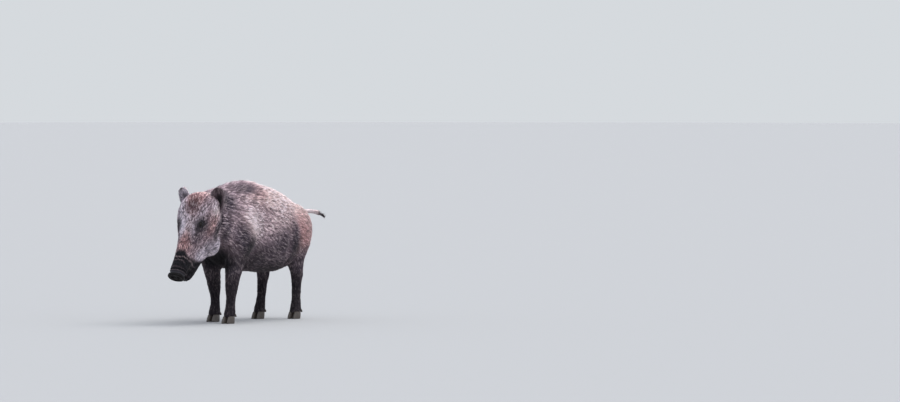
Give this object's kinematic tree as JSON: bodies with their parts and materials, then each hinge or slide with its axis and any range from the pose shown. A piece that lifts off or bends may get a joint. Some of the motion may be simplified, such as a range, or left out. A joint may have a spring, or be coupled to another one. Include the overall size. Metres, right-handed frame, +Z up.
{
  "type": "wild boar model",
  "caption": "Life-size standing wild boar sow with a lowered head, long snout, upright ears, sloping back and tufted tail.",
  "frame": {"origin": "on the floor, below the middle of the animal's length and width", "axes": "+Z up, the snout towards -Y, the animal's left side towards +X"},
  "size_m": [0.3251, 1.4281, 0.6888],
  "materials": {
    "coat_brown": "coarse brown bristle coat with pale tips",
    "coat_dark": "near-black bristle coat of legs, ears and muzzle",
    "coat_grey": "short grizzled grey coat of face and tail",
    "snout_skin": "moist black snout skin",
    "eye": "wet dark brown eye",
    "hoof_horn": "dark horn, slightly worn at the edge"
  },
  "bodies": {
    "root": {"trunk": "coat_brown", "neck": "coat_brown", "head": "coat_grey", "lower_jaw": "coat_dark", "snout_disc": "snout_skin", "ear_left": "coat_dark", "ear_right": "coat_dark", "eye_left": "eye", "eye_right": "eye", "tail": "coat_grey", "tail_tuft": "coat_dark", "foreleg_left": "coat_dark", "foreleg_right": "coat_dark", "hindleg_left": "coat_dark", "hindleg_right": "coat_dark", "hoof_fore_left_inner": "hoof_horn", "hoof_fore_left_outer": "hoof_horn", "hoof_fore_right_inner": "hoof_horn", "hoof_fore_right_outer": "hoof_horn", "hoof_hind_left_inner": "hoof_horn", "hoof_hind_left_outer": "hoof_horn", "hoof_hind_right_inner": "hoof_horn", "hoof_hind_right_outer": "hoof_horn", "dewclaw_fore_left_inner": "hoof_horn", "dewclaw_fore_left_outer": "hoof_horn", "dewclaw_fore_right_inner": "hoof_horn", "dewclaw_fore_right_outer": "hoof_horn", "dewclaw_hind_left_inner": "hoof_horn", "dewclaw_hind_left_outer": "hoof_horn", "dewclaw_hind_right_inner": "hoof_horn", "dewclaw_hind_right_outer": "hoof_horn"}
  },
  "joints": []
}
